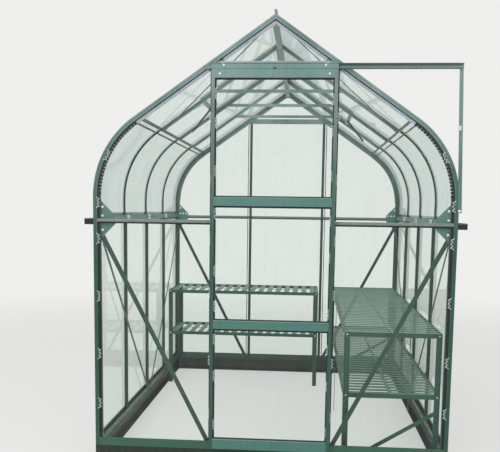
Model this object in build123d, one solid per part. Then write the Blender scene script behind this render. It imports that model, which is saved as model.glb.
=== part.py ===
from build123d import *
from math import cos, floor, pi, radians, sin, tan
import os

os.makedirs("parts", exist_ok=True)

# Glass greenhouse with bent eaves, a sliding door in the front gable, two roof vents and fixed
# slatted staging. Millimetres, +Z up, the door faces -Y. The origin is at ground level in the
# middle of the doorway, on the line of the front gable. The house is drawn about the middle of
# its plan, and each piece is moved to the origin as it is saved.

# Driving sizes of the house
house_width = 1942.0
bar_pitch = 620.0
bay_count = 4
ridge_height = 2427.0
roof_slope = radians(35)
eaves_radius = 516.0
leaf_width = 656.0

half_width = house_width / 2
leaf_half = leaf_width / 2
middle_bar = bay_count // 2
half_length = bar_pitch * bay_count / 2
inner_bar_ys = [-half_length + bar_pitch * n for n in range(1, bay_count)]

# The skin is the line of the gable bars' outer faces: an upright wall, the eaves arc and the
# rafter. A place on it is a distance s along it from the ground and a depth d inside it.
arc_centre_x = half_width - eaves_radius
arc_centre_z = ridge_height - (eaves_radius + sin(roof_slope) * arc_centre_x) / cos(roof_slope)
arc_turn = pi / 2 - roof_slope
arc_start = arc_centre_z
arc_end = arc_start + eaves_radius * arc_turn


def skin_point(s, d):
    """Right half of the skin: the point at distance s along it and depth d inside it."""
    if s <= arc_start:
        return (half_width - d, 0, s)
    angle = min((s - arc_start) / eaves_radius, arc_turn)
    x = arc_centre_x + (eaves_radius - d) * cos(angle)
    z = arc_centre_z + (eaves_radius - d) * sin(angle)
    rest = max(s - arc_end, 0)
    return (x - rest * cos(roof_slope), 0, z + rest * sin(roof_slope))


def rafter_distance(x, d):
    """The distance s at which the rafter line at depth d passes over x."""
    arc_end_x = arc_centre_x + (eaves_radius - d) * cos(arc_turn)
    return arc_end + (arc_end_x - x) / cos(roof_slope)


def rafter_z(x, d):
    """The height of the rafter line at depth d over x."""
    return ridge_height - d / cos(roof_slope) - tan(roof_slope) * x


def skin_run(s1, s2, d):
    """The edges along the skin from s1 to s2 at depth d."""
    marks = [s1] + [s for s in (arc_start, arc_end) if s1 < s < s2] + [s2]
    edges = []
    for a, b in zip(marks, marks[1:]):
        middle = (a + b) / 2
        if arc_start < middle < arc_end:
            edges.append(ThreePointArc(skin_point(a, d), skin_point(middle, d), skin_point(b, d)))
        else:
            edges.append(Line(skin_point(a, d), skin_point(b, d)))
    return edges


def along_y(face, y1, y2):
    """A face drawn at Y = 0 made into a solid from y1 to y2."""
    return extrude(Pos(0, y1, 0) * face, amount=y2 - y1, dir=(0, 1, 0))


def skin_face(s1, s2, d1, d2, x_end=None):
    """A strip that follows the skin, between two depths. With x_end it stops at that upright plane."""
    end_1 = s2 if x_end is None else rafter_distance(x_end, d1)
    end_2 = s2 if x_end is None else rafter_distance(x_end, d2)
    edges = skin_run(s1, end_1, d1) + skin_run(s1, end_2, d2)
    edges.append(Line(skin_point(s1, d1), skin_point(s1, d2)))
    edges.append(Line(skin_point(end_1, d1), skin_point(end_2, d2)))
    return Face(Wire(edges))


def skin_band(s1, s2, d1, d2, y1, y2, x_end=None):
    return along_y(skin_face(s1, s2, d1, d2, x_end), y1, y2)


def inside_skin(z1, d, y1, y2):
    """Everything inside the skin at depth d and above the height z1, on both sides."""
    top = rafter_distance(0, d)
    apex = skin_point(top, d)
    foot = skin_point(z1, d)
    edges = skin_run(z1, top, d)
    edges.append(Line(apex, (0, 0, z1)))
    edges.append(Line((0, 0, z1), foot))
    return two_sides_joined(along_y(Face(Wire(edges)), y1, y2))


def block(x1, x2, y1, y2, z1, z2):
    centre = Pos((x1 + x2) / 2, (y1 + y2) / 2, (z1 + z2) / 2)
    return centre * Box(x2 - x1, y2 - y1, z2 - z1)


def plate(points, thickness):
    """A flat plate from its outline in space and a thickness vector."""
    outline = make_face(Polyline(*points, close=True))
    push = Vector(*thickness)
    return extrude(outline, amount=push.length, dir=push.normalized())


def joined(pieces):
    return pieces[0] + pieces[1:]


def mirror_x(solid):
    return mirror(solid, about=Plane.YZ)


def mirror_y(solid):
    return mirror(solid, about=Plane.XZ)


def two_sides_joined(solid):
    return solid + mirror_x(solid)


def save(name, *pieces):
    solids = [Pos(0, half_length, 0) * solid for piece in pieces for solid in piece.solids()]
    shape = solids[0] if len(solids) == 1 else Compound(solids)
    export_step(shape, f"parts/{name}.step")


# Sheet and glass
glass = 3.0
wall = 2.0
flange = 2.5

# Depths of the glazing bars. Wall bars and roof bars are a T with a bulb along its inner edge, and
# the curved bars are a plain, shallow T.
glass_depth = 6.0
seat_depth = glass_depth + glass
web_depth = seat_depth + flange
bar_depth = 29.0
bulb_depth = bar_depth - 4.0
curved_bar_depth = 19.0
bar_width = 22.0
web_width = 2.5
bulb_width = 8.0

# Heights of the base and of the eaves, which lie a little below the bend
plinth_height = 100.0
plinth_width = 40.0
sill_height = 45.0
sill_top = plinth_height + sill_height
eaves_drop = 115.5
eaves_web_z = arc_start - eaves_drop
eaves_web = 3.0

# The door posts stand just behind the door's edges, and the head bars lie where the rafters pass
# over the posts
door_post = 20.0
post_overlap = 24.0
door_post_x = leaf_half - post_overlap
head_cover = 15.0
head_height = 32.0
head_z2 = rafter_z(door_post_x + door_post, head_cover)
head_z1 = head_z2 - head_height

# Gable bar: a box with the seats of the gable glass and of the wall glass beside it. Its places
# across the gable are counted from the gable line, inwards, and its face is the outermost.
gable_box = 22.0
gable_seat = 40.0
face_y = -22.0
box_back_y = -13.0
seat_back_y = box_back_y + flange
side_seat_y = 11.0
lip_end_y = -2.0
gable_glass_y = box_back_y - glass


def front(y):
    """A place across the front gable, counted inwards from the gable line."""
    return y - half_length


# Base: folded steel channels, the end ones right across and the long ones between them
house_front = front(face_y)
plinth_inner_y = house_front + plinth_width
end_x = half_width - plinth_width
side_plinth = joined([
    block(half_width - wall, half_width, plinth_inner_y, -plinth_inner_y, 0, plinth_height),
    block(end_x, half_width - wall, plinth_inner_y, -plinth_inner_y, 0, wall),
    block(end_x, half_width - wall, plinth_inner_y, -plinth_inner_y,
          plinth_height - wall, plinth_height),
])
save("side_plinths", side_plinth, mirror_x(side_plinth))

front_plinth = block(-half_width, half_width, house_front, plinth_inner_y, 0, plinth_height)
front_plinth -= block(-half_width + wall, half_width - wall, house_front + wall, plinth_inner_y,
                      wall, plinth_height - wall)
save("end_plinths", front_plinth, mirror_y(front_plinth))

# Gable bars: each one is bent from a single length on each side and mitred at the ridge
gable_sections = [
    (0, gable_box, face_y, face_y + wall),
    (0, wall, face_y + wall, seat_back_y),
    (gable_box - wall, gable_box, face_y + wall, box_back_y),
    (wall, gable_seat, box_back_y, seat_back_y),
    (seat_depth, web_depth, seat_back_y, side_seat_y),
    (gable_seat - flange, gable_seat, seat_back_y, lip_end_y),
]
gable_half = joined([
    skin_band(plinth_height, 0, d1, d2, front(y1), front(y2), x_end=0)
    for d1, d2, y1, y2 in gable_sections
])
front_gable_bar = two_sides_joined(gable_half)
back_gable_bar = mirror_y(front_gable_bar)
gable_bars = [front_gable_bar, back_gable_bar]
save("front_gable_bar", front_gable_bar)
save("back_gable_bar", back_gable_bar)

# Sills: channels that hold the feet of the bars and of the glass
sill_base = plinth_height + flange
sill_back_top = sill_top - 5.0
inner_plate_1 = bar_depth
inner_plate_2 = bar_depth + eaves_web
rail_end = front(seat_back_y)


def wall_block(d1, d2, z1, z2):
    """A straight piece along the right wall, from gable bar to gable bar."""
    return block(half_width - d2, half_width - d1, rail_end, -rail_end, z1, z2)


side_sill = joined([
    wall_block(0, flange, plinth_height, sill_top),
    wall_block(flange, plinth_width, plinth_height, sill_base),
    wall_block(inner_plate_1, inner_plate_2, sill_base, sill_back_top),
]) - gable_bars
save("side_sills", side_sill, mirror_x(side_sill))

sill_plate_y = lip_end_y
sill_plate = flange
face_x = half_width - gable_box
front_sill = joined([
    block(-face_x, face_x, front(face_y), front(face_y) + flange, plinth_height, sill_top),
    block(-end_x, end_x, front(face_y) + flange, plinth_inner_y, plinth_height, sill_base),
    block(-end_x, end_x, front(sill_plate_y), front(sill_plate_y) + sill_plate,
          sill_base, sill_back_top),
]) - gable_bars
save("end_sills", front_sill, mirror_y(front_sill))


# Glazing bars: wall bars from sill to eaves, curved bars from eaves to purlin, roof bars from
# purlin to ridge
tee_with_bulb = [
    (seat_depth, web_depth, bar_width),
    (web_depth, bulb_depth, web_width),
    (bulb_depth, bar_depth, bulb_width),
]
plain_tee = [
    (seat_depth, web_depth, bar_width),
    (web_depth, curved_bar_depth, web_width),
]


def glazing_bar(sections, s1, s2, y, x_end=None):
    return joined([
        skin_band(s1, s2, d1, d2, y - width / 2, y + width / 2, x_end)
        for d1, d2, width in sections
    ])


wall_bars = [glazing_bar(tee_with_bulb, sill_base, eaves_web_z, y) for y in inner_bar_ys]
save("wall_bars", *wall_bars, *[mirror_x(bar) for bar in wall_bars])

# Eaves rails: an H on its side. The bars and the glass stand in it from below and from above.
eaves_apron = 28.0
eaves_back_low = 18.0
eaves_back_high = 11.0
eaves_rail = joined([
    wall_block(0, flange, eaves_web_z - eaves_apron, eaves_web_z + eaves_web + eaves_apron),
    wall_block(flange, inner_plate_1, eaves_web_z, eaves_web_z + eaves_web),
    wall_block(inner_plate_1, inner_plate_2, eaves_web_z - eaves_back_low,
               eaves_web_z + eaves_web + eaves_back_high),
]) - gable_bars
save("eaves_rails", eaves_rail, mirror_x(eaves_rail))

# Purlins at the joint of the flat roof and the curved sheets: a box with a cap over both edges
purlin_s = arc_end + 22.0
purlin_width = 10.0
purlin_depth = seat_depth + 12.0
cap_depth = 3.0
cap_width = 14.0
cap_stem = 3.0


def rail_along_skin(s_middle, width, d1, d2, y1=rail_end, y2=-rail_end):
    return skin_band(s_middle - width / 2, s_middle + width / 2, d1, d2, y1, y2)


purlin = joined([
    rail_along_skin(purlin_s, cap_width, cap_depth, cap_depth + wall),
    rail_along_skin(purlin_s, cap_stem, cap_depth + wall, seat_depth),
    rail_along_skin(purlin_s, purlin_width, seat_depth, seat_depth + wall),
    rail_along_skin(purlin_s, purlin_width, purlin_depth - wall, purlin_depth),
    rail_along_skin(purlin_s - (purlin_width - wall) / 2, wall, seat_depth, purlin_depth),
    rail_along_skin(purlin_s + (purlin_width - wall) / 2, wall, seat_depth, purlin_depth),
]) - gable_bars
save("purlins", purlin, mirror_x(purlin))

purlin_low = purlin_s - purlin_width / 2
purlin_high = purlin_s + purlin_width / 2
curve_foot = eaves_web_z + eaves_web
curved_bars = [glazing_bar(plain_tee, curve_foot, purlin_low, y) for y in inner_bar_ys]
save("right_curved_bars", *curved_bars)
save("left_curved_bars", *[mirror_x(bar) for bar in curved_bars])

# Ridge bar: a web with a flange below and a round fin above, which runs out over the gable bars
ridge_web = 4.0
ridge_depth = 58.0
ridge_foot = ridge_height - ridge_depth
ridge_flange_width = 30.0
ridge_flange = 5.0
fin_width = 16.0
fin_rise = 22.0
fin_top = ridge_height + fin_rise
fin_radius = fin_width / 2

roof_bars = [
    glazing_bar(tee_with_bulb, purlin_high, 0, y, x_end=ridge_web / 2) for y in inner_bar_ys
]
save("right_roof_bars", *roof_bars)
save("left_roof_bars", *[mirror_x(bar) for bar in roof_bars])

fin_axis_z = fin_top - fin_radius
fin = Pos(0, 0, fin_axis_z) * Rot(90, 0, 0) * Cylinder(fin_radius, -2 * house_front)
ridge_body = joined([
    block(-ridge_web / 2, ridge_web / 2, house_front, -house_front, ridge_foot, fin_axis_z),
    block(-ridge_flange_width / 2, ridge_flange_width / 2, rail_end, -rail_end,
          ridge_foot - ridge_flange, ridge_foot),
])
gable_span = seat_back_y - face_y
over_gable = inside_skin(plinth_height, 0, house_front, house_front + gable_span)
ridge_bar = ridge_body + fin - [over_gable, mirror_y(over_gable)] - gable_bars
save("ridge_bar", ridge_bar)

# Slim rails under the top edge of the curved sheets, between the bars
slim_rail = 8.0
slim_rail_s = purlin_s - 36.0
bar_edges = [front(side_seat_y)]
for y in inner_bar_ys:
    bar_edges += [y - bar_width / 2, y + bar_width / 2]
bar_edges.append(-front(side_seat_y))
slim_rails = [
    rail_along_skin(slim_rail_s, slim_rail, seat_depth, seat_depth + slim_rail, y1, y2)
    for y1, y2 in zip(bar_edges[0::2], bar_edges[1::2])
]
save("curved_sheet_rails", *slim_rails, *[mirror_x(rail) for rail in slim_rails])

# Gutters hung on the outside of the eaves rails, with a cap on each end
gutter_width = 48.0
gutter_height = 33.0
gutter_z = eaves_web_z - 32.0
gutter_out = half_width + gutter_width
cap_plate = 2.5
gutter = joined([
    block(half_width, half_width + wall, house_front, -house_front,
          gutter_z, gutter_z + gutter_height),
    block(half_width + wall, gutter_out - wall, house_front, -house_front,
          gutter_z, gutter_z + wall),
    block(gutter_out - wall, gutter_out, house_front, -house_front,
          gutter_z, gutter_z + gutter_height),
])
save("gutters", gutter, mirror_x(gutter))
gutter_cap = block(half_width, gutter_out, house_front - cap_plate, house_front,
                   gutter_z, gutter_z + gutter_height)
gutter_caps = [gutter_cap, mirror_x(gutter_cap)]
save("gutter_end_caps", *gutter_caps, *[mirror_y(cap) for cap in gutter_caps])

# Gable frames: the posts and head bars are scribed to the gable bars
post_seat = 6.0
back_post_x = bar_pitch / 2
head_seat = 8.0
post_web_end_y = 9.0
post_bulb_end_y = 13.0


def scribed(solid):
    """A front gable member cut back to the box and to the seat of the gable bar."""
    outside = -2 * gable_seat
    box_side = skin_band(0, 0, outside, gable_box, house_front, rail_end, x_end=0)
    inner_side = skin_band(0, 0, outside, gable_seat, rail_end, front(post_bulb_end_y), x_end=0)
    cutters = [two_sides_joined(box_side), two_sides_joined(inner_side)]
    return solid - cutters - front_gable_bar


post_front_y = front(face_y) + flange
door_post_tube = joined([
    block(door_post_x, door_post_x + door_post, post_front_y, front(seat_back_y), sill_base, head_z1),
    block(door_post_x + door_post, door_post_x + door_post + post_seat,
          front(box_back_y), front(seat_back_y), sill_base, head_z1),
]) - block(door_post_x + wall, door_post_x + door_post - wall, post_front_y + wall,
           front(seat_back_y) - wall, sill_base, head_z1)
door_post_right = scribed(door_post_tube)
save("door_posts", door_post_right, mirror_x(door_post_right))

back_post_blank = joined([
    block(back_post_x - bar_width / 2, back_post_x + bar_width / 2,
          front(box_back_y), front(seat_back_y), sill_base, head_z1),
    block(back_post_x - web_width / 2, back_post_x + web_width / 2,
          front(seat_back_y), front(post_web_end_y), sill_base, head_z1),
    block(back_post_x - bulb_width / 2, back_post_x + bulb_width / 2,
          front(post_web_end_y), front(post_bulb_end_y), sill_base, head_z1),
])
back_post_front = scribed(back_post_blank) - front_sill
back_post = mirror_y(back_post_front)
back_posts = [back_post, mirror_x(back_post)]
save("back_posts", *back_posts)


head_reach = (ridge_height - head_z1) / tan(roof_slope)
head_tube = block(-head_reach, head_reach, front(face_y), front(seat_back_y), head_z1, head_z2)
head_core = block(-head_reach, head_reach, front(face_y) + wall, front(seat_back_y) - wall,
                  head_z1 + wall, head_z2 - wall)
head_seat_plate = block(-head_reach, head_reach, front(box_back_y), front(seat_back_y),
                        head_z2, head_z2 + head_seat)
front_head_bar = scribed(head_tube - head_core + head_seat_plate)
save("front_head_bar", front_head_bar)
save("back_head_bar", mirror_y(front_head_bar))

# Round-faced tie tubes across the gables at the eaves, between the panes
tie_z = eaves_web_z - 12.0
tie_height = 25.0
tie_round = 4.0


def tie_tube(x1, x2):
    y1 = front(face_y) + 1
    blank = block(x1, x2, y1, front(seat_back_y), tie_z - tie_height / 2, tie_z + tie_height / 2)
    outer_edges = blank.edges().filter_by(Axis.X).group_by(Axis.Y)[0]
    return fillet(outer_edges, tie_round)


front_tie = tie_tube(door_post_x + door_post, face_x) - [front_gable_bar, door_post_right]
save("front_tie_tubes", front_tie, mirror_x(front_tie))
back_tie = mirror_y(tie_tube(-face_x, face_x)) - [back_gable_bar, *back_posts]
save("back_tie_tube", back_tie)

# Gusset plates behind the gable bars at the eaves, and the flat braces of gables, walls and roof
plate_thickness = 2.5
gusset_drop = 113.0
gusset_rise = 102.0
gusset_low = eaves_web_z - gusset_drop
gusset_high = eaves_web_z + gusset_rise
gusset_width = 84.0
gusset_x = half_width - inner_plate_2
gusset_points = [
    (gusset_x, gusset_low),
    (gusset_x - gusset_width, gusset_low + gusset_width),
    (gusset_x - gusset_width, gusset_high - gusset_width),
    (gusset_x, gusset_high),
]
gusset_y = front(lip_end_y)
gusset = plate([(x, gusset_y, z) for x, z in gusset_points], (0, plate_thickness, 0))
front_gussets = [gusset, mirror_x(gusset)]
save("gusset_plates", *front_gussets, *[mirror_y(piece) for piece in front_gussets])

brace_half = 14.0
brace_foot_z = sill_base + 1.5
gable_brace_drop = 57.0
gable_brace_foot_x = back_post_x + 18.0
gable_brace_head_x = half_width - 27.0
gable_brace_head_z = eaves_web_z - gable_brace_drop
brace_y = gusset_y + plate_thickness
gable_brace = plate([
    (gable_brace_foot_x - brace_half, brace_y, brace_foot_z),
    (gable_brace_foot_x + brace_half, brace_y, brace_foot_z),
    (gable_brace_head_x + brace_half, brace_y, gable_brace_head_z),
    (gable_brace_head_x - brace_half, brace_y, gable_brace_head_z),
], (0, plate_thickness, 0))
front_braces = [gable_brace, mirror_x(gable_brace)]
save("gable_braces", *front_braces, *[mirror_y(brace) for brace in front_braces])

side_brace_head_y = brace_y + plate_thickness
side_brace_foot_y = -18.0
side_brace_half = 16.0
side_brace_head_z = eaves_web_z - 80.0
side_brace = plate([
    (gusset_x, side_brace_foot_y - side_brace_half, brace_foot_z),
    (gusset_x, side_brace_foot_y + side_brace_half, brace_foot_z),
    (gusset_x, side_brace_head_y, side_brace_head_z + side_brace_half),
    (gusset_x, side_brace_head_y, side_brace_head_z - side_brace_half),
], (-plate_thickness, 0, 0))
side_braces = [side_brace, mirror_y(side_brace)]
save("side_braces", *side_braces, *[mirror_x(brace) for brace in side_braces])

roof_brace_head_x = 45.0
roof_brace_half = 11.0
roof_brace_foot_x = skin_point(purlin_high, bar_depth)[0] - roof_brace_half - 2
roof_brace_head_y = rail_end
roof_brace_foot_y = inner_bar_ys[0] + bulb_width / 2


def roof_brace_corner(x, y):
    return (x, y, rafter_z(x, bar_depth))


roof_brace = plate([
    roof_brace_corner(roof_brace_head_x - roof_brace_half, roof_brace_head_y),
    roof_brace_corner(roof_brace_head_x + roof_brace_half, roof_brace_head_y),
    roof_brace_corner(roof_brace_foot_x + roof_brace_half, roof_brace_foot_y),
    roof_brace_corner(roof_brace_foot_x - roof_brace_half, roof_brace_foot_y),
], (-wall * sin(roof_slope), 0, -wall * cos(roof_slope)))
save("roof_braces", roof_brace, mirror_x(roof_brace))

# Tie bars across the roof, under the bulbs of each pair of roof bars
roof_tie_drop = 292.0
roof_tie_z = ridge_height - roof_tie_drop
roof_tie_height = 20.0
roof_tie = 3.0
under_bars = inside_skin(plinth_height, bar_depth, -half_length, half_length)
roof_ties = [
    block(-half_width, half_width, y - roof_tie / 2, y + roof_tie / 2,
          roof_tie_z - roof_tie_height / 2, roof_tie_z + roof_tie_height / 2) & under_bars
    for y in inner_bar_ys
]
save("roof_tie_bars", *roof_ties)

# Glass of the gables, cut to the line of the gable bar
edge_gap = 2.0
sill_glass_z = sill_base + 1
tie_low = tie_z - tie_height / 2 - 0.5
tie_high = tie_z + tie_height / 2 + 0.5
gable_glass_depth = gable_box + edge_gap
gable_sheet = inside_skin(sill_glass_z, gable_glass_depth, front(gable_glass_y), front(box_back_y))


def gable_pane(x1, x2, z1, z2):
    return gable_sheet & block(x1, x2, front(gable_glass_y), front(box_back_y), z1, z2)


side_pane_x = door_post_x + door_post + edge_gap
front_low = gable_pane(side_pane_x, half_width, sill_glass_z, tie_low)
front_high = gable_pane(side_pane_x, half_width, tie_high, head_z1 - 1)
top_pane = gable_pane(-half_width, half_width, head_z2 + 1, ridge_height)
save("front_gable_glass", front_low, front_high, mirror_x(front_low), mirror_x(front_high), top_pane)

back_side_x = back_post_x + edge_gap
back_middle_x = back_post_x - edge_gap
back_panes = [
    gable_pane(-back_middle_x, back_middle_x, sill_glass_z, tie_low),
    gable_pane(-back_middle_x, back_middle_x, tie_high, head_z1 - 1),
    top_pane,
]
for z1, z2 in [(sill_glass_z, tie_low), (tie_high, head_z1 - 1)]:
    pane = gable_pane(back_side_x, half_width, z1, z2)
    back_panes += [pane, mirror_x(pane)]
save("back_gable_glass", *[mirror_y(pane) for pane in back_panes])

# Notched strips that hold the gable glass round the bend: V cuts along the inner edge let the
# strip bend with the gable bar
notch_pitch = 20.0
notch_width = 9.0
strip_gap = 0.3
strip_spine = 5.0
strip_depth = 21.0
strip = 2.0
strip_s1 = arc_start + 15.0
strip_s2 = arc_end
notch_count = floor((strip_s2 - strip_s1 - notch_width) / notch_pitch)
strip_d1 = gable_box + strip_gap
strip_d2 = strip_d1 + strip_depth
strip_y1 = front(gable_glass_y) - strip
notches = []
for n in range(notch_count):
    notch_s = strip_s1 + (n + 1) * notch_pitch
    notches.append(make_face(Polyline(
        skin_point(notch_s - notch_width / 2, strip_d2 + 1),
        skin_point(notch_s, strip_d1 + strip_spine),
        skin_point(notch_s + notch_width / 2, strip_d2 + 1),
        close=True,
    )))
notched_face = skin_face(strip_s1, strip_s2, strip_d1, strip_d2) - notches
glazing_strip = along_y(notched_face, strip_y1, front(gable_glass_y))
strips = [glazing_strip, mirror_x(glazing_strip)]
save("notched_glazing_strips", *strips, *[mirror_y(piece) for piece in strips])

# Glass of the walls, the bent sheets over the eaves and the flat glass of the roof
pane_gap = 5.0
eaves_glass_gap = 1.0
bay_ys = [-half_length] + inner_bar_ys + [half_length]
bays = [(y1 + pane_gap, y2 - pane_gap) for y1, y2 in zip(bay_ys, bay_ys[1:])]
wall_panes = [
    skin_band(sill_glass_z, eaves_web_z - eaves_glass_gap, glass_depth, seat_depth, y1, y2)
    for y1, y2 in bays
]
save("right_wall_glass", *wall_panes)
save("left_wall_glass", *[mirror_x(pane) for pane in wall_panes])

sheet_gap = cap_stem / 2 + 1
curved_sheets = [
    skin_band(curve_foot + eaves_glass_gap, purlin_s - sheet_gap, glass_depth, seat_depth, y1, y2)
    for y1, y2 in bays
]
save("right_curved_sheets", *curved_sheets)
save("left_curved_sheets", *[mirror_x(sheet) for sheet in curved_sheets])

# Roof vents, one in each slope and in different bays. Each rests on its two roof bars.
vent_bays = {"left": middle_bar - 1, "right": middle_bar}
vent_foot_x = arc_centre_x + 25.0
vent_top_x = 11.0
vent_rise = 4.0
vent_rim = 12.0
vent_ledge = 22.0
vent_side_gap = 1.0
vent_glass_seat = 4.0
vent_s1 = rafter_distance(vent_foot_x, glass_depth)
vent_s2 = rafter_distance(vent_top_x, glass_depth)
roof_glass_x = ridge_web / 2 + 4.0


def ring_on_roof(y1, y2, d1, d2, rim):
    outer = skin_band(vent_s1, vent_s2, d1, d2, y1, y2)
    hole = skin_band(vent_s1 + rim, vent_s2 - rim, d1, d2, y1 + rim, y2 - rim)
    return outer - hole


def vent_parts(y1, y2):
    """The frame, its glass, the slam bar below it and the stay of a vent on the right slope."""
    frame = ring_on_roof(y1, y2, -vent_rise, vent_glass_seat, vent_rim)
    frame = frame + ring_on_roof(y1, y2, vent_glass_seat, seat_depth, vent_ledge)
    gap = vent_rim + 1
    pane = skin_band(vent_s1 + gap, vent_s2 - gap, vent_glass_seat - glass, vent_glass_seat,
                     y1 + gap, y2 - gap)
    return frame, pane


slam_width = 25.0
slam_depth = web_depth + 12.0
slam_s = vent_s1 + slam_width / 2 - 4.0
stay_length = 190.0
stay_width = 12.0
stay_drop = radians(16)


def slam_bar(y1, y2):
    """The bar across two roof bars that the vent closes on."""
    between_flanges = rail_along_skin(slam_s, slam_width, seat_depth, web_depth,
                                      y1 + bar_width / 2, y2 - bar_width / 2)
    between_webs = rail_along_skin(slam_s, slam_width, web_depth, slam_depth,
                                   y1 + web_width / 2, y2 - web_width / 2)
    return between_flanges + between_webs


def stay(y):
    """The notched stay that hangs under the slam bar, a little steeper than the roof."""
    x, _, z = skin_point(slam_s, slam_depth)
    slope = roof_slope + stay_drop
    down = (cos(slope), -sin(slope))
    inward = (-sin(slope), -cos(slope))
    corners = [(0, 0), (stay_length, 0), (stay_length, stay_width), (0, stay_width)]
    points = [
        (x + down[0] * a + inward[0] * b, y - roof_tie / 2, z + down[1] * a + inward[1] * b)
        for a, b in corners
    ]
    return plate(points, (0, roof_tie, 0)) - slam_bar_zone


vent_frames = []
vent_panes = []
slam_bars = []
stays = []
for side, bay in vent_bays.items():
    y1, y2 = bay_ys[bay], bay_ys[bay + 1]
    frame, pane = vent_parts(y1 + pane_gap + vent_side_gap, y2 - pane_gap - vent_side_gap)
    slam_bar_zone = rail_along_skin(slam_s, 4 * slam_width, 0, slam_depth, y1, y2)
    pieces = [frame, pane, slam_bar(y1, y2), stay((y1 + y2) / 2)]
    if side == "left":
        pieces = [mirror_x(piece) for piece in pieces]
    vent_frames.append(pieces[0])
    vent_panes.append(pieces[1])
    slam_bars.append(pieces[2])
    stays.append(pieces[3])
save("vent_frames", *vent_frames)
save("vent_glass", *vent_panes)
save("vent_slam_bars", *slam_bars)
save("vent_stays", *stays)

roof_panes = {"left": [], "right": []}
for side, panes in roof_panes.items():
    for bay, (y1, y2) in enumerate(bays):
        under_vent = bay == vent_bays[side]
        top = vent_s1 - edge_gap if under_vent else 0
        x_end = None if under_vent else roof_glass_x
        pane = skin_band(purlin_s + sheet_gap, top, glass_depth, seat_depth, y1, y2, x_end)
        panes.append(mirror_x(pane) if side == "left" else pane)
    save(f"{side}_roof_glass", *panes)

# Door: the leaf hangs in front of the gable from a track that runs on past the corner post
leaf_foot = plinth_height + 12.0
leaf_top = head_z1 - 3.0
leaf_depth = 22.0
leaf_gap = 8.0
stile = 18.0
bottom_rail = 56.0
middle_rail = 47.0
top_rail = 47.0
upper_rail_z = leaf_foot + 0.6526 * (leaf_top - leaf_foot)
lower_rail_z = leaf_foot + 0.3283 * (leaf_top - leaf_foot)
door_rail_heights = [
    (leaf_foot, leaf_foot + bottom_rail),
    (lower_rail_z, lower_rail_z + middle_rail),
    (upper_rail_z, upper_rail_z + middle_rail),
    (leaf_top - top_rail, leaf_top),
]
glass_bite = 6.0
groove = 4.0
leaf_back = front(face_y) - leaf_gap
leaf_front = leaf_back - leaf_depth
door_glass_y1 = leaf_front + 10.0
door_glass_y2 = door_glass_y1 + glass
groove_y1 = door_glass_y1 - (groove - glass) / 2
groove_y2 = groove_y1 + groove
stile_in = leaf_half - stile


def tube(x1, x2, z1, z2, axis):
    """A leaf member: a tube along X or Z."""
    outer = block(x1, x2, leaf_front, leaf_back, z1, z2)
    if axis == "z":
        return outer - block(x1 + wall, x2 - wall, leaf_front + wall, leaf_back - wall, z1, z2)
    return outer - block(x1, x2, leaf_front + wall, leaf_back - wall, z1 + wall, z2 - wall)


door_stile = tube(stile_in, leaf_half, leaf_foot, leaf_top, "z")
for (_, low), (high, _) in zip(door_rail_heights, door_rail_heights[1:]):
    door_stile -= block(stile_in, stile_in + wall, groove_y1, groove_y2,
                        low - glass_bite, high + glass_bite)
save("door_stiles", door_stile, mirror_x(door_stile))

door_rails = []
for index, (z1, z2) in enumerate(door_rail_heights):
    middle = (z1 + z2) / 2
    rail = tube(-stile_in, stile_in, z1, z2, "x")
    rail += block(-stile_in, stile_in, leaf_front + wall, leaf_back - wall,
                  middle - wall / 2, middle + wall / 2)
    if index > 0:
        rail -= block(-stile_in, stile_in, groove_y1, groove_y2, z1, z1 + wall)
    if index < len(door_rail_heights) - 1:
        rail -= block(-stile_in, stile_in, groove_y1, groove_y2, z2 - wall, z2)
    door_rails.append(rail)
save("door_bottom_rail", door_rails[0])
save("door_middle_rails", door_rails[1], door_rails[2])

track_height = 28.0
track_z1 = leaf_top
track_z2 = track_z1 + track_height
hanger_top = track_z2 - 5.0
hanger = block(-leaf_half, leaf_half, leaf_front, leaf_front + wall, leaf_top, hanger_top)

# The rollers' places: each one turns on a bolt through the hanger plate
shelf_z = leaf_top + 5.5
roller_x = leaf_half - 65.0
roller_radius = 8.0
roller_gap = 0.3
axle_radius = 3.0
roller_z = shelf_z + wall + roller_gap + roller_radius


def disc_along_y(x, z, radius, y1, y2):
    return Pos(x, (y1 + y2) / 2, z) * Rot(90, 0, 0) * Cylinder(radius, y2 - y1)


for x in (-roller_x, roller_x):
    hanger -= disc_along_y(x, roller_z, axle_radius, leaf_front, leaf_front + wall)
save("door_top_rail", door_rails[3] + hanger)

pane_half = stile_in + glass_bite
door_panes = [
    block(-pane_half, pane_half, door_glass_y1, door_glass_y2, low - glass_bite, high + glass_bite)
    for (_, low), (high, _) in zip(door_rail_heights, door_rail_heights[1:])
]
save("door_glass", *door_panes)

# Track: a back plate on the head bar, a shelf that the rollers run on and a hood over them
track_x1 = -leaf_half - 9.0
track_x2 = half_width - 9.0
track_back_y = front(face_y) - flange
shelf_front = front(face_y) - 18.0
shelf_lip = 1.5
shelf_lip_height = 3.0
hood_front = leaf_front + 8.0
track = joined([
    block(track_x1, track_x2, track_back_y, front(face_y), track_z1, track_z2),
    block(track_x1, track_x2, shelf_front, track_back_y, shelf_z, shelf_z + wall),
    block(track_x1, track_x2, shelf_front, shelf_front + shelf_lip,
          shelf_z + wall, shelf_z + wall + shelf_lip_height),
    block(track_x1, track_x2, hood_front, track_back_y, track_z2 - wall, track_z2),
])
save("door_track", track)

# The strut leans from the track's end down to a bolt on the corner post
strut_width = 20.0
strut_foot_x = half_width + 14.0
strut_foot_z = eaves_web_z + 55.0
strut = plate([
    (track_x2 - strut_width, track_back_y, track_z1),
    (track_x2, track_back_y, track_z1),
    (strut_foot_x, track_back_y, strut_foot_z),
    (strut_foot_x - strut_width, track_back_y, strut_foot_z),
], (0, flange, 0))
save("track_strut", strut)

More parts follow.
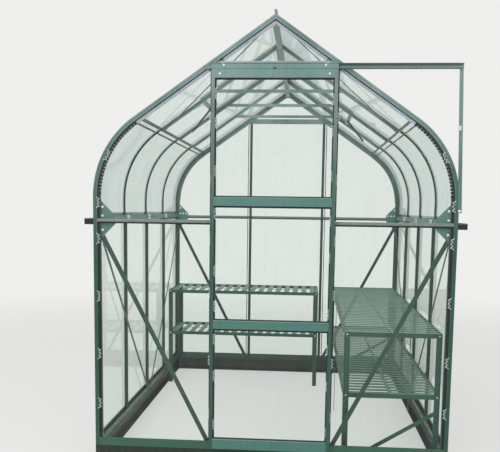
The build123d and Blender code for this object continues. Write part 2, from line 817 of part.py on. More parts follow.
# Rollers with their bolts, whose flat heads lie on the front of the hanger plate
roller_width = 5.0
roller_y1 = shelf_front + shelf_lip + 1.0
bolt_head_radius = 6.0
bolt_head = 3.5
rollers = []
for x in (-roller_x, roller_x):
    wheel = disc_along_y(x, roller_z, roller_radius, roller_y1, roller_y1 + roller_width)
    axle = disc_along_y(x, roller_z, axle_radius, leaf_front, roller_y1)
    head_face = Plane.XZ * RegularPolygon(bolt_head_radius, side_count=6)
    head = along_y(Pos(x, 0, roller_z) * head_face, leaf_front - bolt_head, leaf_front)
    rollers.append(wheel + axle + head)
save("door_rollers", *rollers)

# Staging: angle frames with two slatted decks, along the right wall and across the back
stage_top = 765.0
stage_lower = 425.0
stage_rail = 25.0
stage_ledge = 20.0
stage_sheet = 2.5
leg_width = 32.0
slat_width = 40.0
slat_pitch = 70.0
slat = 3.0
slat_recess = 2.5
deck_gap = 0.5
batten_width = 20.0
cleat_width = 20.0
tier_tops = (stage_lower, stage_top)


def stage_legs(leg_xs, leg_ys):
    """A corner leg is an angle bar. A leg between corners, whose way is 0, is a flat one."""
    legs = []
    for x, x_way in leg_xs:
        thin_x = sorted((x, x + stage_sheet * x_way))
        for y, y_way in leg_ys:
            if y_way == 0:
                legs.append(block(*thin_x, y - leg_width / 2, y + leg_width / 2, 0, stage_top))
                continue
            ends_x = sorted((x, x + leg_width * x_way))
            ends_y = sorted((y, y + leg_width * y_way))
            thin_y = sorted((y, y + stage_sheet * y_way))
            legs.append(block(*ends_x, *thin_y, 0, stage_top) + block(*thin_x, *ends_y, 0, stage_top))
    return legs


def stage_rails(x1, x2, y1, y2, top):
    """A rectangle of upright strips round a tier."""
    outer = block(x1, x2, y1, y2, top - stage_rail, top)
    hollow = block(x1 + stage_sheet, x2 - stage_sheet, y1 + stage_sheet, y2 - stage_sheet,
                   top - stage_rail, top)
    return outer - hollow


def stage_ledges(x1, x2, y1, y2, top):
    """The ledge inside a tier's rails, which carries the slats."""
    z2 = top - slat_recess - slat
    outer = block(x1 + stage_sheet, x2 - stage_sheet, y1 + stage_sheet, y2 - stage_sheet,
                  z2 - stage_sheet, z2)
    hollow = block(x1 + stage_ledge, x2 - stage_ledge, y1 + stage_ledge, y2 - stage_ledge,
                   z2 - stage_sheet, z2)
    return outer - hollow


def slat_deck(x1, x2, y1, y2, top, slats_along_x):
    """Flat slats, riveted to a batten under their middle."""
    gap = stage_sheet + deck_gap
    u1, u2, v1, v2 = x1 + gap, x2 - gap, y1 + gap, y2 - gap
    if not slats_along_x:
        u1, u2, v1, v2 = v1, v2, u1, u2
    count = floor((v2 - v1 - slat_width) / slat_pitch) + 1
    first = (v1 + v2 - (count - 1) * slat_pitch - slat_width) / 2
    z2 = top - slat_recess
    z1 = z2 - slat
    batten_u = (u1 + u2 - batten_width) / 2
    pieces = [(batten_u, batten_u + batten_width, v1 + stage_ledge, v2 - stage_ledge,
               z1 - stage_sheet, z1)]
    for n in range(count):
        v = first + n * slat_pitch
        pieces.append((u1, u2, v, v + slat_width, z1, z2))
    if not slats_along_x:
        pieces = [(c, d, a, b, e, f) for a, b, c, d, e, f in pieces]
    return joined([block(*piece) for piece in pieces])


right_stage_width = 528.0
rx2 = end_x - 1.0
rx1 = rx2 - right_stage_width
ry2 = half_length - 50.0
ry1 = -ry2
right_stage = (rx1, rx2, ry1, ry2)
right_frame = joined([
    *stage_legs([(rx1, 1), (rx2, -1)], [(ry1, 1), (0, 0), (ry2, -1)]),
    *[stage_rails(*right_stage, top) for top in tier_tops],
    *[stage_ledges(*right_stage, top) for top in tier_tops],
])
cleats = []
for number, bar_y in enumerate(inner_bar_ys, start=1):
    for top in tier_tops if number == middle_bar else (stage_lower,):
        cleats.append(block(rx2, half_width - bar_depth, bar_y - cleat_width / 2,
                            bar_y + cleat_width / 2, top - stage_rail, top))

# A flat brace across each end of the right bench, from under the lower tier to the foot of the
# leg on the room side
end_brace_half = 13.0
end_brace_drop = 89.0
end_brace_z1 = end_brace_half + 3.0
end_brace_z2 = stage_lower - end_brace_drop
end_brace = plate([
    (rx1 + stage_sheet, ry1 + stage_sheet, end_brace_z1 - end_brace_half),
    (rx2 - stage_sheet, ry1 + stage_sheet, end_brace_z2 - end_brace_half),
    (rx2 - stage_sheet, ry1 + stage_sheet, end_brace_z2 + end_brace_half),
    (rx1 + stage_sheet, ry1 + stage_sheet, end_brace_z1 + end_brace_half),
], (0, stage_sheet, 0))
save("right_bench_frame", right_frame + [*cleats, end_brace, mirror_y(end_brace)])
save("right_bench_slats", *[slat_deck(*right_stage, top, True) for top in tier_tops])

back_stage_depth = 512.0
bench_gap = 118.0
bx1 = -half_width + 45.0
bx2 = rx1 - bench_gap
by2 = -plinth_inner_y
by1 = by2 - back_stage_depth
back_stage = (bx1, bx2, by1, by2)
back_legs = stage_legs([(bx1, 1), (bx2, -1)], [(by1, 1), (by2, -1)])

# The back bench's rails run from leg to leg, with a ledge strip riveted inside each one, and cleats
# tie the rear rails to a back post
long_rails = []
end_rails = []
ledges = []
for top in tier_tops:
    levels = (top - stage_rail, top)
    rails = stage_rails(*back_stage, top) - back_legs
    cleat = block(-back_post_x - cleat_width / 2, -back_post_x + cleat_width / 2,
                  by2, -front(post_bulb_end_y), *levels)
    long_rails.append(rails & block(bx1, bx2, by1, by1 + stage_sheet, *levels))
    long_rails.append((rails & block(bx1, bx2, by2 - stage_sheet, by2, *levels)) + cleat)
    between_rails = (by1 + stage_sheet, by2 - stage_sheet)
    end_rails.append(rails & block(bx1, bx1 + stage_sheet, *between_rails, *levels))
    end_rails.append(rails & block(bx2 - stage_sheet, bx2, *between_rails, *levels))
    ledges.append(stage_ledges(*back_stage, top))
save("back_bench_legs", *back_legs)
save("back_bench_long_rails", *long_rails)
save("back_bench_end_rails", *end_rails)
save("back_bench_ledges", *ledges)
save("back_bench_slats", *[slat_deck(*back_stage, top, False) for top in tier_tops])
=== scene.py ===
from math import cos, pi, radians, sin

import bmesh
import bpy
from mathutils import Matrix, Vector


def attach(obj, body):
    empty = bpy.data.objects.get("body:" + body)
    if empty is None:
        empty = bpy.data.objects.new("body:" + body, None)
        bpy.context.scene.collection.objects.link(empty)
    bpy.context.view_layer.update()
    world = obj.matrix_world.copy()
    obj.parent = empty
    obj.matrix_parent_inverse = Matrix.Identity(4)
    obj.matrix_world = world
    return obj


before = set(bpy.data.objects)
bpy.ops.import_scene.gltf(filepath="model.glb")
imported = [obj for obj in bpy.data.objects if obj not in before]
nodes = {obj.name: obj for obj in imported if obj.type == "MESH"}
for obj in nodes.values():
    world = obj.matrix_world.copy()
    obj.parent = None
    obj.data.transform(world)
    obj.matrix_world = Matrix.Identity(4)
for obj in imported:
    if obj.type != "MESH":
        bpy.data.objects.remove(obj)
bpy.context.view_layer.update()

# Camera: it stands a little to the right of the doorway, at standing eye height, and looks slightly
# down. The picture is cut short at its foot, so the axis of the lens lies below the picture's middle.
camera_place = (0.1863, -3.9744, 1.4258)
camera_yaw = -0.0758
camera_pitch = -0.1179
camera_roll = 0.0134
picture_width = 500
focal_pixels = 740.3
axis_below_middle = 70.5

camera_data = bpy.data.cameras.new("camera")
camera_data.sensor_width = 36.0
camera_data.lens = focal_pixels * camera_data.sensor_width / picture_width
camera_data.shift_y = axis_below_middle / picture_width
camera = bpy.data.objects.new("camera", camera_data)
camera.matrix_world = (
    Matrix.Translation(camera_place)
    @ Matrix.Rotation(-camera_yaw, 4, "Z")
    @ Matrix.Rotation(pi / 2 + camera_pitch, 4, "X")
    @ Matrix.Rotation(camera_roll, 4, "Z")
)
bpy.context.collection.objects.link(camera)
bpy.context.scene.camera = camera

# Base: a channel folded from galvanised steel stands on the ground round all four sides, with
# aluminium sills on it that hold the feet of the bars and panes. Its green paint is the dirtiest
# on the house, because rain splashes soil up it.
# The coat pales between these heights: partly sun fading, partly painted sky light on the upper frame
fade_and_skylight_foot, fade_and_skylight_top, least_fade_and_skylight = 1.2, 2.2, 0.06
run_dirt, run_strength = "#24403A", 0.22
splashed_soil, most_soil = "#5C5B4A", 0.5
# Edges pale by wear and by a painted highlight
edge_rounding, edge_wear_and_highlight = 0.0016, 0.45


def srgb(code):
    """A colour written as sRGB hex, turned to the linear values that the shaders take."""
    values = [int(code[i:i + 2], 16) / 255 for i in (1, 3, 5)]
    return [v / 12.92 if v <= 0.04045 else ((v + 0.055) / 1.055) ** 2.4 for v in values] + [1.0]


def add_node(tree, kind, settings=None, links=None):
    """Adds a shader node, sets its properties and inputs, and links the sockets that are given."""
    node = tree.nodes.new(kind)
    for key, value in (settings or {}).items():
        if isinstance(key, str) and hasattr(node, key):
            setattr(node, key, value)
        else:
            node.inputs[key].default_value = value
    for key, socket in (links or {}).items():
        tree.links.new(socket, node.inputs[key])
    return node


def paint(material, *names):
    """Gives one material to some of the CAD nodes."""
    for name in names:
        for slot in nodes[name].material_slots:
            slot.material = material


def new_material(name):
    """Starts a material: its node tree, its surface and each point's place on the house."""
    material = bpy.data.materials.new(name)
    material.use_nodes = True
    tree = material.node_tree
    place = add_node(tree, "ShaderNodeTexCoord").outputs["Object"]
    return material, tree, tree.nodes["Principled BSDF"], place


def finish_surface(tree, surface, colour, wear, rough_low, rough_high, grain, depth, strength):
    """Gives a surface its colour, a roughness that follows its wear, and the relief of its grain."""
    gloss = add_node(tree, "ShaderNodeMapRange", {"To Min": rough_low, "To Max": rough_high},
                     {"Value": wear})
    bumps = add_node(tree, "ShaderNodeBump", {"Strength": strength, "Distance": depth},
                     {"Height": grain})
    tree.links.new(colour, surface.inputs["Base Color"])
    tree.links.new(gloss.outputs[0], surface.inputs["Roughness"])
    tree.links.new(bumps.outputs[0], surface.inputs["Normal"])


# The faded colour stands for sun fading and painted sky light together, the edge colour for wear and a
# painted highlight
def coated_metal(name, full, faded, bare_and_highlit_edge, dust, dust_and_skylight_share, splash_height, roughness=0.42):
    """A baked coat of coloured powder on metal: a soft satin with random patches, growing paler towards
    the roof, which is partly sun fading and partly painted sky light. Thin runs of dirt go down the
    uprights, edges are paler from wear and a painted highlight, and what faces up carries dust with a
    painted sky reflection."""
    material, tree, surface, place = new_material(name)
    height = add_node(tree, "ShaderNodeSeparateXYZ", links={0: place}).outputs["Z"]
    geometry = add_node(tree, "ShaderNodeNewGeometry")
    facing = add_node(tree, "ShaderNodeSeparateXYZ", links={0: geometry.outputs["Normal"]})

    # Patches are a forearm long, blotches a thumb wide and runs 9 mm wide. The grain of the powder is
    # 1 mm, drawn at 3 mm because the real one is too fine to show.
    noises = {}
    for pattern, size, stretch, low, high, least in (
        ("patch", 0.35, 1.0, 0.38, 0.66, 0.5),
        ("blotch", 0.022, 1.0, 0.40, 0.68, 0.0),
        ("run", 0.009, 25.0, 0.52, 0.74, 0.0),
        ("grain", 0.003, 1.0, 0.25, 0.75, 0.0),
    ):
        scale = (1 / size, 1 / size, 1 / size / stretch)
        spread = add_node(tree, "ShaderNodeMapping", {"Scale": scale}, {"Vector": place})
        noise = add_node(tree, "ShaderNodeTexNoise", {"Scale": 1.0, "Detail": 3.0},
                         {"Vector": spread.outputs[0]})
        level = add_node(tree, "ShaderNodeMapRange",
                         {"From Min": low, "From Max": high, "To Min": least}, {"Value": noise.outputs[0]})
        noises[pattern] = level.outputs[0]

    # The coat grows paler towards the roof, partly by sun fading and partly as painted sky light on the
    # upper frame, and soil reaches only as high as the splash
    fade_and_skylight = add_node(tree, "ShaderNodeMapRange",
                       {"From Min": fade_and_skylight_foot, "From Max": fade_and_skylight_top, "To Min": least_fade_and_skylight},
                       {"Value": height})
    splash = add_node(tree, "ShaderNodeMapRange",
                      {"From Min": splash_height, "From Max": 0.0, "To Max": most_soil},
                      {"Value": height})
    # Upward faces: real dust, with a painted sky reflection on them
    dust_and_skylight_tops = add_node(tree, "ShaderNodeMapRange",
                    {"From Min": 0.55, "From Max": 0.95, "To Max": dust_and_skylight_share},
                    {"Value": facing.outputs["Z"]})
    # Paler edges: partly wear, partly a painted edge highlight
    rounded = add_node(tree, "ShaderNodeBevel", {"samples": 4, "Radius": edge_rounding})
    flatness = add_node(tree, "ShaderNodeVectorMath", {"operation": "DOT_PRODUCT"},
                        {0: rounded.outputs[0], 1: geometry.outputs["Normal"]})
    worn_and_highlit_edges = add_node(tree, "ShaderNodeMapRange",
                     {"From Min": 0.99, "From Max": 0.80, "To Max": edge_wear_and_highlight},
                     {"Value": flatness.outputs["Value"]})

    # Fading with painted sky light, runs, edges worn and painted with a highlight, dust with a painted
    # sky reflection, and soil lie over each other in this order
    colour = None
    for code, share, pattern in (
        (faded, fade_and_skylight.outputs[0], "patch"),
        (run_dirt, None, "run"),
        (bare_and_highlit_edge, worn_and_highlit_edges.outputs[0], "blotch"),
        (dust, dust_and_skylight_tops.outputs[0], "grain"),
        (splashed_soil, splash.outputs[0], "blotch"),
    ):
        amount = add_node(tree, "ShaderNodeMath", {"operation": "MULTIPLY", 0: run_strength},
                          {1: noises[pattern]})
        if share is not None:
            tree.links.new(share, amount.inputs[0])
        layer = add_node(tree, "ShaderNodeMixRGB", {"Color1": srgb(full), "Color2": srgb(code)},
                         {"Fac": amount.outputs[0]})
        if colour is not None:
            tree.links.new(colour, layer.inputs["Color1"])
        colour = layer.outputs["Color"]
    finish_surface(tree, surface, colour, noises["blotch"], roughness - 0.08, roughness + 0.16,
                   noises["grain"], depth=0.0004, strength=0.25)
    surface.inputs["IOR"].default_value = 1.5
    return material


# The steel's near black green is painted shade, for the plinths lie in shade inside the house; the
# splashed soil is real
shade_darkened_steel = coated_metal("shade_darkened_steel", full="#12221B", faded="#22382E", bare_and_highlit_edge="#5E6A60",
                             dust="#5A5F53", dust_and_skylight_share=0.35, splash_height=0.13, roughness=0.5)
green_sill = coated_metal("green_sill", full="#2C5F4C", faded="#55877A", bare_and_highlit_edge="#8FAE9F",
                          dust="#98A492", dust_and_skylight_share=0.6, splash_height=0.18)
paint(shade_darkened_steel, "side_plinths", "end_plinths")
paint(green_sill, "side_sills", "end_sills")

# Frame: aluminium extrusions, sawn or bent, bolted together and coated green. One coat is painted in
# lit and shaded copies. Gable bars, door posts, head bars, ridge and roof bars grow palest towards the
# roof, partly sun fading and partly painted sky light. Wall bars, bent bars, back posts and braces
# inside the glass get a darker copy, which is painted shade, purlins the darkest, painted shade under
# the roof glass, and gussets and eaves rails a pale copy, which is painted sky reflection.
green_aluminium = coated_metal("green_powder_coat", full="#164C3A", faded="#99AFAB", bare_and_highlit_edge="#A5BEB4",
                               dust="#9DB3A5", dust_and_skylight_share=0.4, splash_height=0.10)
# A darker copy of the same coat: painted shade inside the glass
shaded_aluminium = coated_metal("shaded_powder_coat", full="#1C4638", faded="#315F52", bare_and_highlit_edge="#5D8377",
                                dust="#55776C", dust_and_skylight_share=0.3, splash_height=0.10)
# The darkest copy: painted shade on the purlins under the roof glass
purlin_shade_aluminium = coated_metal("purlin_shade_coat", full="#0F2A22", faded="#1D4036", bare_and_highlit_edge="#4B6D62",
                                dust="#44635A", dust_and_skylight_share=0.2, splash_height=0.10)
# A pale copy: painted sky reflection on the gussets and eaves rails
sky_reflecting_aluminium = coated_metal("plate_sky_reflection_coat", full="#4C7A71", faded="#8AA6A2", bare_and_highlit_edge="#93B3A9",
                               dust="#8FA9A0", dust_and_skylight_share=0.5, splash_height=0.10)
paint(green_aluminium, "front_gable_bar", "back_gable_bar", "door_posts", "front_head_bar",
      "back_head_bar", "ridge_bar", "left_roof_bars", "right_roof_bars", "roof_tie_bars")
paint(shaded_aluminium, "left_curved_bars", "right_curved_bars", "wall_bars", "back_posts",
      "gable_braces", "side_braces", "roof_braces")
paint(purlin_shade_aluminium, "purlins", "curved_sheet_rails")
paint(sky_reflecting_aluminium, "gusset_plates", "eaves_rails")

# Gutters and tie tubes: aluminium channels clipped outside the eaves, closed by moulded black caps
# that stand out past the gables. The tie tubes between the gable panes are black plastic too, and
# both are grey above a line, which is a painted highlight along their tops.


def moulded_plastic(name, body, top_tone, roughness, highlight_line=None):
    """Moulded plastic: an even fine satin, turned to a second tone where it faces up (sun greying
    with a painted highlight) and above a given line (a painted highlight).
    """
    material, tree, surface, place = new_material(name)
    normal = add_node(tree, "ShaderNodeNewGeometry").outputs["Normal"]
    upward = add_node(tree, "ShaderNodeSeparateXYZ", links={0: normal}).outputs["Z"]
    # Faces turned up take the second tone: sun greying and a painted highlight
    top_share = add_node(tree, "ShaderNodeMapRange", {"From Min": -0.1, "From Max": 0.9},
                      {"Value": upward})
    # Above the line the second tone is a painted highlight along the top
    if highlight_line is not None:
        height = add_node(tree, "ShaderNodeSeparateXYZ", links={0: place}).outputs["Z"]
        upper = add_node(tree, "ShaderNodeMapRange",
                         {"From Min": highlight_line - 0.002, "From Max": highlight_line + 0.003},
                         {"Value": height})
        top_share = add_node(tree, "ShaderNodeMath", {"operation": "MAXIMUM"},
                          {0: top_share.outputs[0], 1: upper.outputs[0]})
    # Scuffs of 6 mm, and a mould texture of 0.5 mm that is drawn at 2 mm so that it shows
    scuffs = add_node(tree, "ShaderNodeTexNoise", {"Scale": 1 / 0.006, "Detail": 4.0}, {"Vector": place})
    grain = add_node(tree, "ShaderNodeTexNoise", {"Scale": 1 / 0.002, "Detail": 2.0}, {"Vector": place})
    patchy = add_node(tree, "ShaderNodeMapRange", {"From Min": 0.3, "From Max": 0.7, "To Min": 0.6},
                      {"Value": scuffs.outputs[0]})
    amount = add_node(tree, "ShaderNodeMath", {"operation": "MULTIPLY"},
                      {0: top_share.outputs[0], 1: patchy.outputs[0]})
    colour = add_node(tree, "ShaderNodeMixRGB", {"Color1": srgb(body), "Color2": srgb(top_tone)},
                      {"Fac": amount.outputs[0]})
    finish_surface(tree, surface, colour.outputs["Color"], scuffs.outputs[0], roughness - 0.1,
                   roughness + 0.15, grain.outputs[0], depth=0.0003, strength=0.2)
    surface.inputs["IOR"].default_value = 1.46
    surface.inputs["Specular IOR Level"].default_value = 0.35
    return material


cap_plastic = moulded_plastic("black_cap_plastic", body="#050606", top_tone="#7C837F", roughness=0.42,
                              highlight_line=1.359)
tube_plastic = moulded_plastic("highlit_tube_plastic", body="#0A0D0D", top_tone="#8F9A96", roughness=0.38,
                               highlight_line=1.347)
gutter_green = coated_metal("gutter_powder_coat", full="#3A6D5C", faded="#5E8C7A", bare_and_highlit_edge="#98B2A5",
                            dust="#8B9484", dust_and_skylight_share=0.8, splash_height=0.10)
paint(gutter_green, "gutters")
paint(cap_plastic, "gutter_end_caps")
paint(tube_plastic, "front_tie_tubes", "back_tie_tube")

# Glass: 3 mm horticultural panes, rolled flat and nearly clear, with a film of dust that the rain
# has drawn into faint runs. The sheets over the eaves are bent acrylic, which weathers to a milkier
# haze, and the roof panes hold more dust than the walls.
cloud_width = 0.28
run_stretch = 9


def glazing(name, tint, film, film_low, film_high, roughness, run_width=0.03):
    """A clear pane: what is behind it shows through, with a gloss that grows at a slant and a thin
    film of dust. Lamps shine through it."""
    material = bpy.data.materials.new(name)
    material.use_nodes = True
    tree = material.node_tree
    tree.nodes.clear()
    place = add_node(tree, "ShaderNodeTexCoord").outputs["Object"]

    # The dust lies in clouds a forearm wide, drawn into runs nine times as tall as they are wide
    scale = (1 / run_width, 1 / run_width, 1 / run_width / run_stretch)
    spread = add_node(tree, "ShaderNodeMapping", {"Scale": scale}, {"Vector": place})
    runs = add_node(tree, "ShaderNodeTexNoise", {"Scale": 1.0, "Detail": 5.0},
                    {"Vector": spread.outputs[0]})
    clouds = add_node(tree, "ShaderNodeTexNoise", {"Scale": 1 / cloud_width, "Detail": 3.0},
                      {"Vector": place})
    both = add_node(tree, "ShaderNodeMath", {"operation": "MULTIPLY"},
                    {0: runs.outputs[0], 1: clouds.outputs[0]})
    share = add_node(tree, "ShaderNodeMapRange",
                     {"From Min": 0.12, "From Max": 0.42, "To Min": film_low, "To Max": film_high},
                     {"Value": both.outputs[0]})
    clear = add_node(tree, "ShaderNodeBsdfTransparent", {"Color": srgb(tint)})
    gloss = add_node(tree, "ShaderNodeBsdfGlossy", {"Color": srgb("#EEF0EF"), "Roughness": roughness})
    lit_dust = add_node(tree, "ShaderNodeBsdfDiffuse", {"Color": srgb(film)})
    glowing_dust = add_node(tree, "ShaderNodeBsdfTranslucent", {"Color": srgb(film)})
    dust = add_node(tree, "ShaderNodeMixShader", {"Fac": 0.5},
                    {1: lit_dust.outputs[0], 2: glowing_dust.outputs[0]})

    # A pane mirrors on the face that the ray comes to. The face behind would mirror all of a slanting
    # ray, because the ray isn't bent on its way in.
    slant = add_node(tree, "ShaderNodeFresnel", {"IOR": 1.42})
    behind = add_node(tree, "ShaderNodeNewGeometry").outputs["Backfacing"]
    nearer = add_node(tree, "ShaderNodeMath", {"operation": "SUBTRACT", "use_clamp": True},
                      {0: slant.outputs[0], 1: behind})
    pane = add_node(tree, "ShaderNodeMixShader",
                    links={0: nearer.outputs[0], 1: clear.outputs[0], 2: gloss.outputs[0]})
    dusty = add_node(tree, "ShaderNodeMixShader",
                     links={0: share.outputs[0], 1: pane.outputs[0], 2: dust.outputs[0]})
    ray = add_node(tree, "ShaderNodeLightPath").outputs["Is Shadow Ray"]
    lamp_way = add_node(tree, "ShaderNodeBsdfTransparent", {"Color": srgb("#F4F8F6")})
    lit = add_node(tree, "ShaderNodeMixShader",
                   links={0: ray, 1: dusty.outputs[0], 2: lamp_way.outputs[0]})
    add_node(tree, "ShaderNodeOutputMaterial", links={"Surface": lit.outputs[0]})
    return material


wall_glass = glazing("wall_glass", tint="#FBFDFC", film="#DCE3E1",
                     film_low=0.002, film_high=0.022, roughness=0.03)
roof_glass = glazing("roof_glass", tint="#FAFCFC", film="#E6EAEA",
                     film_low=0.012, film_high=0.06, roughness=0.05)
bent_acrylic = glazing("bent_acrylic", tint="#F3F7F6", film="#CDD4D2",
                       film_low=0.05, film_high=0.13, roughness=0.08, run_width=0.05)
paint(wall_glass, "front_gable_glass", "back_gable_glass", "left_wall_glass", "right_wall_glass",
      "door_glass")
paint(roof_glass, "left_roof_glass", "right_roof_glass", "vent_glass")
paint(bent_acrylic, "left_curved_sheets", "right_curved_sheets")

# Gable bar grooves: a fine groove is formed along the middle of each gable bar's face as the
# aluminium is extruded. The shade in it is painted as a thin dark line on the face, which follows the
# house's outline: upright walls, a bend at the eaves and a straight roof.
half_width = 0.971
house_length = 2.480
bend_radius = 0.516
roof_slope = radians(35)
bend_angle = pi / 2 - roof_slope
bend_start = 1.4785
bend_end = bend_start + bend_radius * bend_angle
bend_rings = 20
bar_face_y = -0.022
sill_top = 0.1455
ridge_edge = 0.004
groove_depth, groove_width, groove_line = 0.0105, 0.002, 0.0002


def on_skin(side, s, depth, y):
    """A point inside the house's outline. s runs up the wall, round the bend and up the roof."""
    reach = bend_radius - depth
    turn = min(max(s - bend_start, 0.0) / bend_radius, bend_angle)
    climb = max(s - bend_end, 0.0)
    x = half_width - bend_radius + reach * cos(turn) - climb * cos(roof_slope)
    z = min(s, bend_start) + reach * sin(turn) + climb * sin(roof_slope)
    return Vector((side * x, y, z))


def roof_place_at_x(x, depth):
    """How far along the skin the roof comes to this distance from the ridge."""
    foot = half_width - bend_radius + (bend_radius - depth) * cos(bend_angle)
    return bend_end + (foot - x) / cos(roof_slope)


def sweep_on_skin(mesh, s1, s2, section):
    """Sweeps a section of (depth, y) points along both sides of both gables."""
    bend = [bend_start + bend_radius * bend_angle * n / bend_rings for n in range(bend_rings + 1)]
    stops = [s1, *[s for s in bend if s1 < s < s2], s2]
    for side in (-1, 1):
        for at_back in (False, True):
            rings = []
            for s in stops:
                points = [on_skin(side, s, depth, house_length - y if at_back else y)
                          for depth, y in section]
                rings.append([mesh.verts.new(point) for point in points])
            for first, second in zip(rings, rings[1:]):
                for i in range(len(section)):
                    j = (i + 1) % len(section)
                    mesh.faces.new((first[i], first[j], second[j], second[i]))
            mesh.faces.new(rings[0])
            mesh.faces.new(rings[-1])


def make_piece(name, mesh, material, body):
    """Turns a drawn mesh into a piece that rides on a body, creased where its faces meet sharply."""
    bmesh.ops.recalc_face_normals(mesh, faces=mesh.faces)
    for face in mesh.faces:
        face.smooth = True
    data = bpy.data.meshes.new(name)
    mesh.to_mesh(data)
    mesh.free()
    data.set_sharp_from_angle(angle=radians(35))
    data.materials.append(material)
    piece = bpy.data.objects.new(name, data)
    bpy.context.collection.objects.link(piece)
    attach(piece, body)
    return piece


groove_section = [
    (groove_depth, bar_face_y), (groove_depth + groove_width, bar_face_y),
    (groove_depth + groove_width, bar_face_y - groove_line), (groove_depth, bar_face_y - groove_line),
]
groove_shade_strip = bmesh.new()
sweep_on_skin(groove_shade_strip, sill_top, roof_place_at_x(ridge_edge, groove_depth), groove_section)
make_piece("gable_bar_groove_shade", groove_shade_strip, shaded_aluminium, "greenhouse")

# Glazing seals: extruded black rubber pressed between the gable bars and the panes, up the posts,
# along the rafters and beside the door posts. Round the bend the notched strip takes their place.
glass_face_y = -0.016
seal_depth = 0.0225
seal_edge = 0.0008
seal_height = 0.002
tube_bottom, tube_top = 1.3375, 1.3645
strip_foot = 1.4930
rafter_foot = bend_end + 0.0005
head_bottom, head_top = 2.149, 2.191
door_post_edge = 0.3302
door_post_seal_width, door_post_seal_height = 0.006, 0.0018


def roof_place_at_height(z, depth):
    """How far along the skin the roof comes to this height."""
    foot = bend_start + (bend_radius - depth) * sin(bend_angle)
    return bend_end + (z - foot) / sin(roof_slope)


def seal_section(width, slope):
    """A seal is thick beside its bar and slopes down to a thin edge on the pane."""
    return [
        (seal_depth, glass_face_y),
        (seal_depth + width, glass_face_y),
        (seal_depth + width, glass_face_y - seal_edge),
        (seal_depth + width - slope, glass_face_y - seal_height),
        (seal_depth, glass_face_y - seal_height),
    ]


def add_bar(mesh, low, high, bevel=0.0008):
    """A straight bar between two corners, with its edges rounded."""
    made = bmesh.ops.create_cube(mesh, size=1.0)
    size = Vector(high) - Vector(low)
    middle = (Vector(high) + Vector(low)) / 2
    for vert in made["verts"]:
        vert.co = Vector(a * b for a, b in zip(vert.co, size)) + middle
    worn_and_highlit_edges = list({edge for vert in made["verts"] for edge in vert.link_edges})
    bmesh.ops.bevel(mesh, geom=worn_and_highlit_edges, offset=bevel, segments=2, affect="EDGES")


def on_both_gables(thickness):
    """Where a layer of this thickness on the panes begins and ends in Y, in front and at the back."""
    back_glass_y = house_length - glass_face_y
    return (glass_face_y - thickness, glass_face_y), (back_glass_y, back_glass_y + thickness)


def rubber(name, body, bloom):
    """Black extruded rubber: matt, with a grey bloom where it has aged."""
    material, tree, surface, place = new_material(name)
    # The bloom lies in spots of 12 mm, and the skin's pores are drawn at 1.5 mm
    spots = add_node(tree, "ShaderNodeTexNoise", {"Scale": 1 / 0.012, "Detail": 4.0}, {"Vector": place})
    pores = add_node(tree, "ShaderNodeTexNoise", {"Scale": 1 / 0.0015, "Detail": 2.0}, {"Vector": place})
    amount = add_node(tree, "ShaderNodeMapRange", {"From Min": 0.5, "From Max": 0.8, "To Max": 0.6},
                      {"Value": spots.outputs[0]})
    colour = add_node(tree, "ShaderNodeMixRGB", {"Color1": srgb(body), "Color2": srgb(bloom)},
                      {"Fac": amount.outputs[0]})
    finish_surface(tree, surface, colour.outputs["Color"], spots.outputs[0], 0.5, 0.8,
                   pores.outputs[0], depth=0.0003, strength=0.3)
    surface.inputs["IOR"].default_value = 1.52
    return material


black_rubber = rubber("black_rubber", body="#101213", bloom="#3C4241")
strip_rubber = rubber("notched_strip_rubber", body="#15201F", bloom="#4B5C58")
paint(strip_rubber, "notched_glazing_strips")

upright_seal = seal_section(width=0.0125, slope=0.003)
rafter_seal_width = 0.0045
rafter_seal = seal_section(width=rafter_seal_width, slope=0.0015)
seals = bmesh.new()
sweep_on_skin(seals, sill_top, tube_bottom, upright_seal)
sweep_on_skin(seals, tube_top, strip_foot, upright_seal)
sweep_on_skin(seals, rafter_foot, roof_place_at_height(head_bottom, seal_depth), rafter_seal)
sweep_on_skin(seals, roof_place_at_height(head_top, seal_depth + rafter_seal_width),
              roof_place_at_x(ridge_edge, seal_depth), rafter_seal)
for side in (-1, 1):
    x1, x2 = sorted((side * door_post_edge, side * (door_post_edge + door_post_seal_width)))
    for z1, z2 in ((sill_top, tube_bottom), (tube_top, head_bottom)):
        for y1, y2 in on_both_gables(door_post_seal_height):
            add_bar(seals, (x1, y1, z1), (x2, y2, z2))
make_piece("gable_seals", seals, black_rubber, "greenhouse")

# Clear lips: a lip of soft clear plastic bridges the seal and the gable pane along each rafter, goes
# on round the bend under the notched strip, and lies along the glass above the head bars. It has
# gone milky, with a cold tinge.
soft_clear = glazing("milky_clear_strip", tint="#E6EAF4", film="#E9ECF8",
                     film_low=0.5, film_high=0.75, roughness=0.2, run_width=0.01)
lip_near, lip_far = 0.0272, 0.042
lip_thick, lip_thin = 0.0014, 0.0006
clear_lip = [(lip_near, glass_face_y), (lip_far, glass_face_y), (lip_far, glass_face_y - lip_thin),
             (lip_near, glass_face_y - lip_thick)]
head_lip_reach = 0.345
head_lip_foot, head_lip_top = 2.1832, 2.190
head_lip_thickness = 0.0008
thin_bevel = 0.0002

lips = bmesh.new()
sweep_on_skin(lips, rafter_foot, roof_place_at_height(head_bottom, lip_near), clear_lip)
sweep_on_skin(lips, roof_place_at_height(head_top, lip_far), roof_place_at_x(ridge_edge, lip_near),
              clear_lip)
sweep_on_skin(lips, strip_foot, bend_end, clear_lip)
for y1, y2 in on_both_gables(head_lip_thickness):
    add_bar(lips, (-head_lip_reach, y1, head_lip_foot), (head_lip_reach, y2, head_lip_top), thin_bevel)
make_piece("clear_glazing_lips", lips, soft_clear, "greenhouse")

